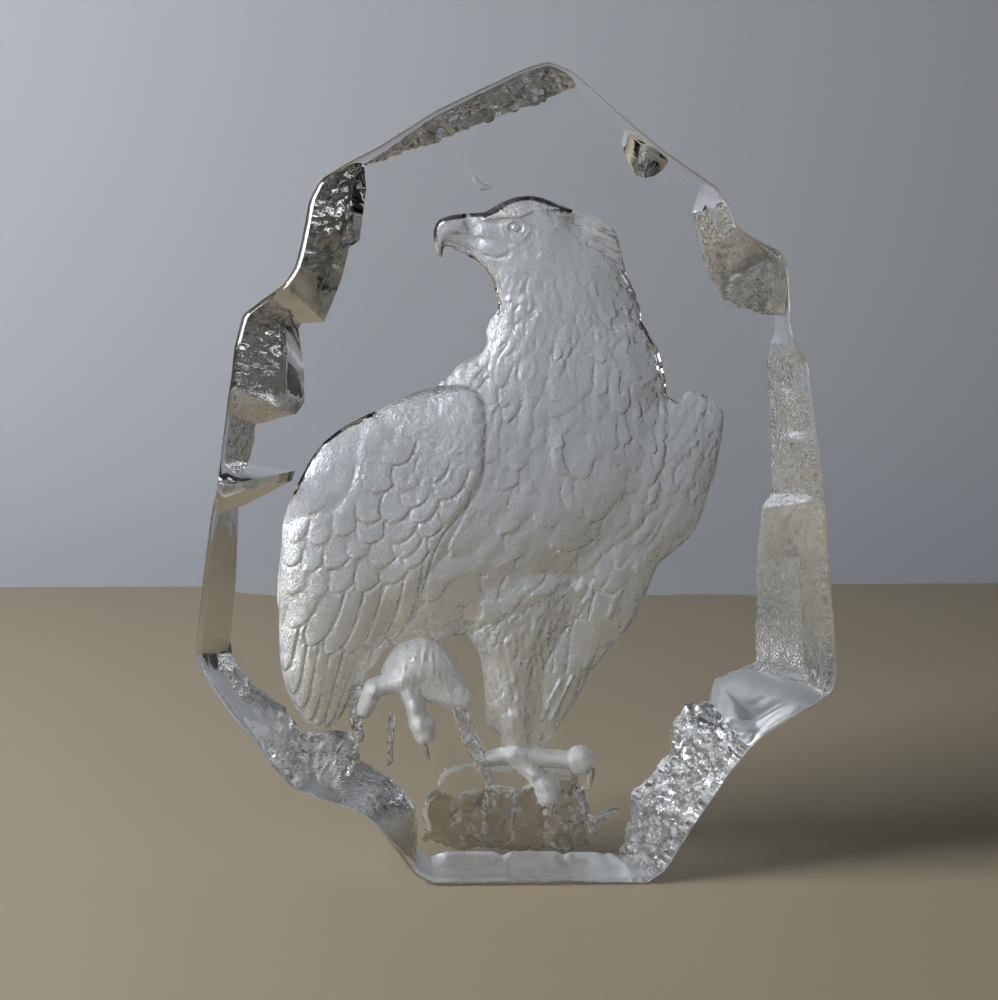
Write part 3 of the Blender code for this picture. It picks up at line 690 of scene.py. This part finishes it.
# owners, seed, strength of the lines under the feathers, combs as (size, length, depth), then the arrows they
# follow: x, z, heading in degrees, feather length, width, lift
featherFields = [
    (["right wing"], 3, 0.4, [(1.6, 4, 0.1), (0.8, 2, 0.05)], [(50, 132, -112, 4.5, 3.2, 0.2),
      (52, 118, -118, 6.5, 4.2, 0.26), (45, 105, -125, 8.5, 4.6, 0.3), (46, 94, -122, 11, 5, 0.34),
      (34, 82, -120, 15, 5.6, 0.38), (24, 68, -118, 16, 5, 0.4)]),
    (["tail"], 4, 0.3, [(1.6, 10, 0.12)], [(20, 60, -118, 14, 4, 0.2), (8, 42, -112, 14, 4, 0.2)]),
    (["thigh"], 5, 0.5, [(1.5, 5, 0.16), (0.8, 3, 0.06)], [(10, 74, -100, 4.5, 2.4, 0.24),
      (-5, 72, -115, 4, 2.4, 0.24), (2, 60, -98, 5.5, 2.6, 0.3), (-6, 55, -95, 5, 2.4, 0.26),
      (3, 45, -92, 5.5, 2.4, 0.26), (0, 36, -95, 3.5, 2, 0.16)]),
    (["body"], 7, 0.5, [(1.9, 7, 0.1), (0.9, 4, 0.05)], [(-16, 185, -150, 3, 2, 0),
      (-8, 184, -120, 2.2, 1.6, 0), (3, 188, -75, 2.4, 1.5, 0), (8, 184, -70, 3, 1.7, 0.02),
      (3, 176, -95, 3.2, 1.8, 0.04), (16, 186, -60, 4.5, 2, 0.08), (26, 180, -62, 8, 2.4, 0.22),
      (14, 168, -88, 7.5, 2.4, 0.1), (-2, 160, -108, 6.5, 2.2, 0.14), (32, 162, -74, 9, 2.8, 0.15),
      (-8, 148, -128, 7, 2.6, 0.2), (7, 150, -100, 10, 3.2, 0.18), (34, 148, -80, 10, 3.6, 0.18),
      (-5, 133, -110, 10, 5.2, 0.32), (14, 132, -100, 12, 7.6, 0.36), (37, 128, -88, 10, 5.2, 0.3),
      (-10, 110, -118, 13, 9, 0.38), (10, 108, -108, 14, 10, 0.36), (33, 104, -115, 11, 6.2, 0.3),
      (-18, 86, -130, 13, 9, 0.36), (4, 88, -128, 13, 8.4, 0.36)]),
    (["left wing", "wing edge"], 9, 0, [(1.4, 6, 0.07)], [(-30, 120, -112, 9, 6, 0),
      (-45, 60, -118, 9, 6, 0)]),
    (["leg"], 13, 0.5, [(1.1, 4, 0.16)], [(-28, 64, -98, 5, 1.1, 0.2), (-20, 60, -80, 5, 1.1, 0.2),
      (-35, 58, -110, 4, 1.1, 0.2), (-28, 55, -92, 4, 1.2, 0.1), (-27, 46, -92, 3, 1.4, 0),
      (-43, 48, -92, 3, 1.4, 0), (-20, 50, -92, 3, 1.4, 0)]),
]

# covert feathers, farthest from the head first: tip x, tip z, length, width, lift
wingCoverts = [
    (-65.5, 80, 15, 7, 0.4), (-59, 79, 16, 8, 0.42), (-52.5, 80.5, 17, 8.5, 0.44), (-45.2, 81, 17, 8.5, 0.44),
    (-38.2, 83, 17, 8.5, 0.44), (-31, 88, 16, 8, 0.42), (-24.5, 93, 14, 6.5, 0.36), (-66, 88, 13, 7, 0.4),
    (-60.5, 87, 12, 7, 0.42), (-54, 87.5, 13, 8, 0.44), (-47, 90.5, 14, 8.6, 0.44),
    (-40.6, 88, 14, 8.4, 0.42), (-33.6, 91, 14, 8.6, 0.42), (-27, 97, 13, 8, 0.38), (-65, 95, 10, 6.5, 0.4),
    (-58.2, 94.6, 9, 7, 0.5), (-51.2, 97.4, 11, 8, 0.42), (-43.6, 94.8, 12, 9, 0.42),
    (-35.8, 95.6, 12, 9.2, 0.42), (-29, 101, 12, 8.4, 0.36), (-20, 101, 12, 8, 0.18),
    (-44.2, 101, 11, 8.6, 0.42), (-37, 101.4, 11, 9, 0.42), (-31, 105.5, 11, 8.6, 0.34),
    (-22, 108, 12, 8, 0.14), (-41.2, 109.6, 11, 9.6, 0.4), (-33.6, 111, 11, 9, 0.34),
    (-36.5, 118, 10, 9, 0.22), (-27, 113, 10, 9, 0.16),
]

# raised and sunken lines: points, half width, height
eagleLines = [
    ([(-14.8, 189.2), (-15.2, 187), (-13.1, 184.2), (-11.6, 181.4)], 0.5, 0.3),
    ([(-20.3, 181.9), (-15.9, 181.8), (-12.7, 180.3), (-8.3, 178), (-4.9, 177.1), (-3.4, 177.6)], 0.35, -0.5),
    ([(-19.4, 180.9), (-17.5, 181.3), (-14.6, 180.4), (-12.6, 179), (-14.5, 178.9), (-17.4, 179.8),
      (-19.4, 180.9)], 0.4, 0.55),
    ([(-9.5, 187.6), (-4, 188), (1.5, 188.5), (5.2, 190.2)], 0.35, -0.3),
    ([(-9, 181.5), (-6, 180.4), (-2.5, 178.4)], 0.6, 0.3),
    ([(-4, 178.4), (-1, 180.4), (2.5, 182.6), (5, 186)], 0.5, 0.28),
    ([(-2.5, 176.5), (0.5, 179), (4, 181.2), (7, 184.4)], 0.5, 0.22),
    ([(-9.5, 185.2), (-8.6, 182.6), (-5.5, 181.6)], 0.5, 0.25),
    ([(17.1, 55.4), (12.7, 46.4), (10.8, 42.4)], 0.45, 0.8),
    ([(13.5, 53.9), (10.3, 48), (8.3, 42.5)], 0.45, 0.8),
]

# patches of the head that take the lit frosted look, whose whiter, less clear share is painted light: the
# brow, then the tufts behind it
litPatches = [
    [(-9.6, 187.9), (-4.5, 188.4), (2, 188.7), (5.6, 190.4), (4.4, 191.9), (-1.5, 192.2), (-6.2, 190.6)],
    [(13.5, 191.6), (20.8, 189.9), (26, 187.7), (28.2, 185.9), (23.4, 186.1), (18, 188.3)],
    [(18.6, 187.4), (23.4, 185.2), (28, 182.8), (30.4, 179.2), (26.6, 180.6), (21.6, 183.6)],
]


def modelFace(relief):
    brow, *tufts = (insideDistance(closedSpline(patch, 1.0), relief.x, relief.z) for patch in litPatches)
    # lit patches take the whiter look as painted light
    relief.litPatch = np.max([brow, *tufts], axis=0) > 0
    for points, width, height in eagleLines:
        part, x, z = relief.window(points, 3)
        relief.detail[part] += height * bell(lineDistance(points, x, z), width)
    part, x, z = relief.window([(-26, 168), (14, 197)])  # the head
    serrated = 1 + 0.5 * np.abs(np.sin(x * 2.3)) * (z < 190)
    slope = 1 - np.exp(-positive(brow[part]) / (0.4 * serrated))
    added = np.clip(0.9 - 0.55 * (z - 190), 0.1, 2.0) * slope
    away = np.hypot(x - 0.2, (z - 185.9) * 1.15)
    added += 0.45 * np.sqrt(limited(1 - (away / 1.3) ** 2))  # eyeball
    added -= 0.32 * bell(away - 1.6, 0.4)  # groove round it
    added += 0.40 * bell(away - 2.5, 0.5)  # eyelid
    added += 0.32 * bell(away - 3.8, 0.6) * (z < 187)  # fold under it
    added -= 0.22 * bell(np.hypot(x + 12.8, z - 185.6), 0.7)  # nostril
    relief.detail[part] += added
    for tuft in tufts:  # in overlapping locks
        lock = (relief.x * 0.45 + relief.z * 0.89) / 1.7 % 1
        relief.detail += 0.75 * (1 - lock) * limited(lock * 6) * limited(tuft / 0.6)


def comb(relief, owners, arrows, size, reach, depth, seed):  # hair that lies along the arrows
    arrows = np.array(arrows, float)
    mask = relief.owns(owners)
    x, z = relief.x[mask], relief.z[mask]
    heading = np.zeros((len(x), 2))
    for arrow in arrows:
        weight = 1 / np.clip((x - arrow[0]) ** 2 + (z - arrow[1]) ** 2, 4, None) ** 1.5
        heading += weight[:, None] * unit(math.radians(arrow[2]))
    heading /= np.linalg.norm(heading, axis=1)[:, None]
    lumps = grain(spots(relief.x, 0, relief.z), size, seed)
    steps = np.arange(-reach / 2, reach / 2 + 0.01, size / 2.5)
    total = sum(relief.at(lumps, x + step * heading[:, 0], z + step * heading[:, 1]) for step in steps)
    relief.detail[mask] += depth * total / math.sqrt(len(steps))


def cutGrooves(relief):  # thin lines under the feathers' edges, deepest where an edge faces right or down
    edges = np.zeros(relief.x.shape)
    ids, lift = relief.feather, relief.detail
    across = ids[:, 1:] != ids[:, :-1]
    along = ids[1:, :] != ids[:-1, :]
    edges[:, 1:] = np.where(across, np.where(lift[:, :-1] > lift[:, 1:], 1.0, 0.25), 0)
    lower = np.where(along, np.where(lift[1:, :] > lift[:-1, :], 0.9, 0.2), 0)
    edges[1:, :] = np.maximum(edges[1:, :], lower)
    beside = [np.roll(relief.line, way, axis) for axis in (0, 1) for way in (-1, 1)]
    near = np.max([relief.line, *beside], axis=0)
    broken = np.clip(0.75 + 0.7 * grain(spots(relief.x, 0, relief.z), 5.0, 91), 0.15, 1.3)
    groove = blurred(edges * near * broken, recess["grooveWidth"])
    relief.detail = blurred(relief.detail, recess["featherBlur"])
    relief.detail -= recess["groove"] * limited(groove * 1.6)


def modelToes(relief):
    part, x, _ = relief.window([(3, 26), (17, 34)])
    rings = recess["toeRings"] * np.abs(np.sin(math.pi * x / 2.0)) ** 0.5
    relief.detail[part] += np.where(relief.owns(["foot"], part), rings, 0)


# where the eagle's edge is steep and polished: points along it, height, width
edgeBands = [
    ([(-9.5, 190.4), (-3, 193.5), (2, 194.9), (7, 194.6), (13.5, 192.2)], 2.2, 1.15),
    ([(-20.2, 189), (-17.2, 189.7)], 2.2, 1.1),
    ([(-22.9, 187), (-23.2, 184.4), (-21.6, 179)], 1.8, 0.9),
    ([(31, 175.5), (35.3, 165), (37.5, 158)], 0.8, 0.8),
    ([(37.5, 158), (42, 149.5), (44, 141)], 2.2, 1.1),
    ([(-10.7, 176.1), (-6.8, 170.8), (-4.6, 163.5)], 0.9, 0.6),
    ([(-61, 110.5), (-57.7, 117), (-53, 124.4), (-47.6, 129.6), (-43, 131.6)], 1, 0.6),
]


def modelEagle():
    relief = HeightMap()
    modelMasses(relief)
    modelFeathers(relief)
    cutGrooves(relief)
    modelFace(relief)
    modelToes(relief)
    edge = positive(relief.inside)
    bird = ~relief.owns(eagleSlots)
    lip = recess["lip"] * (1 - np.exp(-(edge / recess["lipWidth"]) ** 1.5))
    bands = np.zeros(edge.shape)
    for points, height, width in edgeBands:
        part, x, z = relief.window(points, 14)
        away = lineDistance(points, x, z)
        beside = np.sqrt(positive(away ** 2 - edge[part] ** 2))  # how far past the band's ends
        close = bell(beside, recess["bandPast"]) * bird[part]
        added = height * close * limited(edge[part] / width) * bell(edge[part], recess["bandIn"])
        bands[part] = np.maximum(bands[part], added)
        relief.smooth[part] = np.maximum(relief.smooth[part], close * limited(2.0 - edge[part] / width))
    lip += blurred(bands, 0.3)
    fade = limited(edge / 1.2)
    relief.height = np.where(relief.inside > 0, relief.height + lip * bird + relief.detail * fade, 0.0)
    hammered = limited((relief.z - 98) / 12) * limited((relief.x + 42) / 14)  # the shoulder
    hammered = blurred(relief.owns(["left wing"]) * hammered, recess["hammerBlur"])
    rough = (relief.inside > 0) & bird
    everyPoint = spots(relief.x, 0, relief.z)
    uneven = recess["grain"] + recess["hammerGrain"] * hammered
    relief.height += rough * uneven * grain(everyPoint, 1.4, 41)
    relief.height -= rough * hammered * recess["hammer"] * np.abs(grain(everyPoint, 2.2, 51, 3))
    return relief


def reliefPoints(relief):
    loops = [resample(loop, recess["outlineSpacing"])
             for loop in zeroLoops(relief.inside, relief.xs, relief.zs, recess["shortestLoop"])]
    fine = recess["fine"]
    rowStep = fine * math.sqrt(0.75)
    columns = int((recess["right"] - recess["left"]) / fine)
    rows = int((recess["top"] - recess["bottom"]) / rowStep)
    i, j = np.meshgrid(np.arange(columns), np.arange(rows))
    x = recess["left"] + i * fine + (j % 2) * fine / 2
    z = recess["bottom"] + j * rowStep
    x, z = x.ravel(), z.ravel()
    i = i + (j // 2) % 2
    middle = ((j % 2 == 0) & (i % 2 == 0)).ravel()
    coarse = ((j % 4 == 0) & (i % 4 == 0)).ravel()
    inside = relief.at(relief.inside, x, z)
    kept = inside > recess["edgeGap"]
    curve = sum(np.abs(np.gradient(np.gradient(relief.height, axis=axis), axis=axis)) for axis in (0, 1))
    curve = sum((np.roll(curve, way, axis) for axis in (0, 1) for way in (1, -1)), curve) / 5
    turn = relief.at(curve, x, z)
    fineLimit, middleLimit = np.quantile(turn[kept], [1 - recess["fineShare"], 1 - recess["middleShare"]])
    kept &= coarse | (middle & (turn > middleLimit)) | (turn > fineLimit)
    return loops, np.stack([x[kept], z[kept]], axis=1)


def linked(name, data):
    thing = bpy.data.objects.new(name, data)
    bpy.context.scene.collection.objects.link(thing)
    return thing


def eagleSlot(name, smooth, litPatch):  # index of the material of one face in the recess
    look = {**eagleSlots, **legSlots}.get(name, "frosted")
    if look == "frosted" and smooth > recess["smoothFrom"]:
        look = "cast"
    # a face mostly in a lit patch takes the whiter look, painted light
    elif look == "frosted" and litPatch > 0.5:  # more than half its corners
        look = "litFrosted"
    return crystalSlots.index(look)


def buildBlock():
    grid, rimSlots = rimGrid()
    rows, count = grid.shape[:2]
    print("rim", rows, "rows of", count)
    relief = modelEagle()
    print("eagle height map", relief.height.shape, "deepest %.1f mm" % relief.height.max())
    loops, loose = reliefPoints(relief)
    print("recess points", len(loose), "in", len(loops), "outlines")
    faces, smooth, slots = [], [], []
    backStart = block["roundRows"] + block["frontRows"]
    for row in range(rows - 1):
        for i in range(count):
            a, b = row * count + i, row * count + (i + 1) % count
            faces.append((a, b, b + count, a + count))
            slots.append(0 if row < block["roundRows"] else rimSlots[i][row >= backStart])
    smooth.extend([True] * len(faces))
    _, front = filled(grid[0][:, [0, 2]])
    faces.extend(front)
    smooth.extend([False] * len(front))
    slots.extend([0] * len(front))
    points, back = filled(grid[-1][:, [0, 2]], loops, loose)
    edgeCount = count + sum(len(loop) for loop in loops)
    depths, smoothness, litPatchShare = (relief.at(field, points[:, 0], points[:, 1])
                                     for field in (relief.height, relief.smooth, relief.litPatch))
    depths[:edgeCount] = 0.0
    start = (rows - 1) * count
    for face in back:
        faces.append(tuple(start + v for v in face[::-1]))
        face = list(face)
        inRecess = max(face) >= edgeCount or depths[face].max() != 0
        smooth.append(inRecess)
        owner = relief.owners[relief.ownerAt(*points[face].mean(axis=0))]
        slots.append(eagleSlot(owner, smoothness[face].mean(), litPatchShare[face].mean()) if inRecess else 0)
    inner = spots(points[:, 0], block["depth"] - depths, points[:, 1])[count:]
    corners = np.concatenate([grid.reshape(-1, 3), inner])
    corners[:, 1] -= block["depth"] / 2
    corners[:, 0] -= (corners[:, 0].max() + corners[:, 0].min()) / 2
    mesh = bpy.data.meshes.new("crystalEagle")
    mesh.from_pydata((corners * millimetre).tolist(), [], faces)
    mesh.polygons.foreach_set("use_smooth", np.array(smooth))
    mesh.polygons.foreach_set("material_index", slots)
    mesh.set_sharp_from_angle(angle=math.radians(block["creaseAngle"]))
    ends = np.zeros(len(mesh.edges) * 2, np.int32)
    mesh.edges.foreach_get("vertices", ends)
    sharp = np.zeros(len(mesh.edges), bool)
    mesh.attributes["sharp_edge"].data.foreach_get("value", sharp)
    sharp &= ends.reshape(-1, 2).max(axis=1) < start + edgeCount  # none inside the recess
    mesh.attributes["sharp_edge"].data.foreach_set("value", sharp)
    print("block", len(corners), "corners", sum(len(face) - 2 for face in faces), "triangles")
    return linked("crystalEagle", mesh)


def feed(tree, node, inputs):  # each input is a value, or the output that feeds it
    for name, value in inputs.items():
        if isinstance(value, bpy.types.NodeSocket):
            tree.links.new(value, node.inputs[name])
        else:
            node.inputs[name].default_value = value
    return node


def addNode(tree, kind, inputs):
    return feed(tree, tree.nodes.new("ShaderNode" + kind), inputs)


def grainGroup():  # the fine surface of every crystal finish: bump height and roughness
    group = bpy.data.node_groups.new("crystalGrain", "ShaderNodeTree")
    for name, value in (("Size", 1.0), ("Pits", 0.3), ("Smooth", 0.0), ("Rough", 0.1)):
        socket = group.interface.new_socket(name=name, in_out="INPUT", socket_type="NodeSocketFloat")
        socket.default_value = value
    for name in ("Height", "Roughness"):
        group.interface.new_socket(name=name, in_out="OUTPUT", socket_type="NodeSocketFloat")
    given = group.nodes.new("NodeGroupInput").outputs
    place = addNode(group, "TexCoord", {}).outputs["Object"]
    perMetre = addNode(group, "Math", {0: 1000.0, 1: given["Size"]})  # grains in a metre
    perMetre.operation = "DIVIDE"
    scale = perMetre.outputs["Value"]
    lumps = addNode(group, "TexNoise", {"Vector": place, "Scale": scale, "Detail": 3.0})
    cells = addNode(group, "TexVoronoi", {"Vector": place, "Scale": scale})
    patches = addNode(group, "TexNoise", {"Vector": place, "Scale": 90.0})  # where the surface is duller
    height = addNode(group, "Mix", {"Factor": given["Pits"], "A": lumps.outputs["Fac"],
                                    "B": cells.outputs["Distance"]})
    spread = addNode(group, "MapRange", {"Value": patches.outputs["Fac"], "From Min": 0.35, "From Max": 0.65,
                                         "To Min": given["Smooth"], "To Max": given["Rough"]})
    feed(group, group.nodes.new("NodeGroupOutput"), {"Height": height.outputs["Result"],
                                                     "Roughness": spread.outputs["Result"]})
    return group


def newMaterial(name):  # a material and its tree
    material = bpy.data.materials.new(name)
    material.use_nodes = True
    return material, material.node_tree


def crystalMaterial(finish, group):
    colour, size, pits, smooth, rough, bumpiness, clear = crystalLooks[finish]
    material, tree = newMaterial(finish + "Crystal")
    surface = tree.nodes.new("ShaderNodeGroup")
    surface.node_tree = group
    feed(tree, surface, {"Size": size, "Pits": pits, "Smooth": smooth, "Rough": rough})
    bump = addNode(tree, "Bump", {"Strength": bumpiness, "Distance": size * millimetre * bumpHeight,
                                  "Height": surface.outputs["Height"]})
    feed(tree, tree.nodes["Principled BSDF"], {
        "Base Color": (*colour, 1.0), "Metallic": 0.0, "IOR": refraction, "Transmission Weight": clear,
        "Roughness": surface.outputs["Roughness"], "Normal": bump.outputs["Normal"]})
    return material


def plane(name, corners, colour):
    mesh = bpy.data.meshes.new(name)
    mesh.from_pydata(corners, [], [(0, 1, 2, 3)])
    paint, tree = newMaterial(name + "Paint")
    roughness = studio["roughness"][name]
    feed(tree, tree.nodes["Principled BSDF"], {"Base Color": (*colour, 1.0), "Roughness": roughness})
    mesh.materials.append(paint)
    return linked(name, mesh)


def softbox(name, place, target, width, height, radiance, lights):
    light = bpy.data.lights.new(name, "AREA")
    light.shape = "RECTANGLE"
    light.size, light.size_y = width, height
    light.energy = radiance * math.pi * width * height
    light.color = studio["lampColour"]
    thing = linked(name, light)
    thing.location = place
    thing.rotation_euler = (Vector(target) - Vector(place)).to_track_quat("-Z", "Y").to_euler()
    thing.visible_camera = False
    thing.visible_transmission = lights != "room"
    thing.visible_diffuse = lights != "glass"


studio = {
    "floor": (0.285, 0.235, 0.155),
    "floorLevel": -1e-4,  # leaves a film of air under the glass
    "floorCorners": [(-1.6, -1.6), (1.6, -1.6), (1.6, 0.513), (-1.6, 0.513)],
    "backdrop": (0.40, 0.415, 0.45),
    "backdropBehind": 0.66,
    "roughness": {"floor": 0.6, "backdrop": 0.9},
    "backdropCorners": [(-0.55, -0.3), (0.375, -0.3), (0.375, 1.1), (-0.55, 1.1)],
    "lampColour": (0.94, 0.97, 1.0),
    # place, target, width, height, radiance, what it lights
    "softboxes": {
        "windowLeft": ((-0.95, -0.30, 0.62), (0.05, 0.1, 0.10), 0.6, 0.6, 19.5, "room"),
        "windowCard": ((-0.95, -0.30, 0.62), (0.05, 0.0, 0.10), 0.45, 0.5, 14, "glass"),
        "windowBehind": ((-0.38, 0.62, 0.52), (-0.05, 0.0, 0.12), 0.30, 0.30, 1.5, "glass"),
        "windowSide": ((-0.90, 0.0, 0.40), (0.0, 0.0, 0.12), 0.30, 0.30, 2.5, "glass"),
        "lampBehind": ((0.72, 0.52, 0.26), (0.0, 0.0, 0.12), 0.14, 0.14, 7.0, "glass"),
        "lampRight": ((0.80, -0.25, 0.62), (0.0, 0.0, 0.12), 0.16, 0.16, 9.0, "glass"),
    },
    "roomDirection": (-0.60, 0.62, 0.50),  # towards the light side of the room
    "roomColour": (0.90, 0.95, 1.0),
    "roomDusk": -0.45,  # from here on towards the light side it turns brighter
    "roomDark": 0.015,
    "roomLight": 0.05,
}


def setStage():
    level, behind = studio["floorLevel"], studio["backdropBehind"]
    floor = plane("floor", [(x, y, level) for x, y in studio["floorCorners"]], studio["floor"])
    corners = [(x, behind, z) for x, z in studio["backdropCorners"]]
    backdrop = plane("backdrop", corners, studio["backdrop"])
    for name, values in studio["softboxes"].items():
        softbox(name, *values)
    world = bpy.data.worlds.new("studio")
    bpy.context.scene.world = world
    world.use_nodes = True
    tree = world.node_tree
    place = addNode(tree, "TexCoord", {}).outputs["Generated"]
    facing = addNode(tree, "VectorMath", {0: place, 1: Vector(studio["roomDirection"]).normalized()})
    facing.operation = "DOT_PRODUCT"
    room = addNode(tree, "MapRange", {"Value": facing.outputs["Value"], "From Min": studio["roomDusk"],
                                      "To Min": studio["roomDark"], "To Max": studio["roomLight"]})
    room.interpolation_type = "SMOOTHSTEP"
    feed(tree, tree.nodes["Background"], {"Color": (*studio["roomColour"], 1.0),
                                          "Strength": room.outputs["Result"]})


view = {
    "place": (-0.0166, -0.4815, 0.161),
    "down": 6.27,  # degrees from level
    "right": 1.41,
    "lens": 60.0,
}


def setCamera():
    camera = bpy.data.cameras.new("camera")
    camera.lens = view["lens"]
    camera.sensor_width = 36.0
    camera.clip_start = 0.01
    thing = linked("camera", camera)
    thing.location = view["place"]
    thing.rotation_euler = (math.radians(90 - view["down"]), 0, math.radians(-view["right"]))
    bpy.context.scene.camera = thing


piece = buildBlock()
surfaceGroup = grainGroup()
for finish in crystalSlots:
    piece.data.materials.append(crystalMaterial(finish, surfaceGroup))
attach(piece, "root")
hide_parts("crystal_block")
setStage()
setCamera()
bpy.context.scene.view_settings.view_transform = "Standard"
print("stage, lights and camera set")
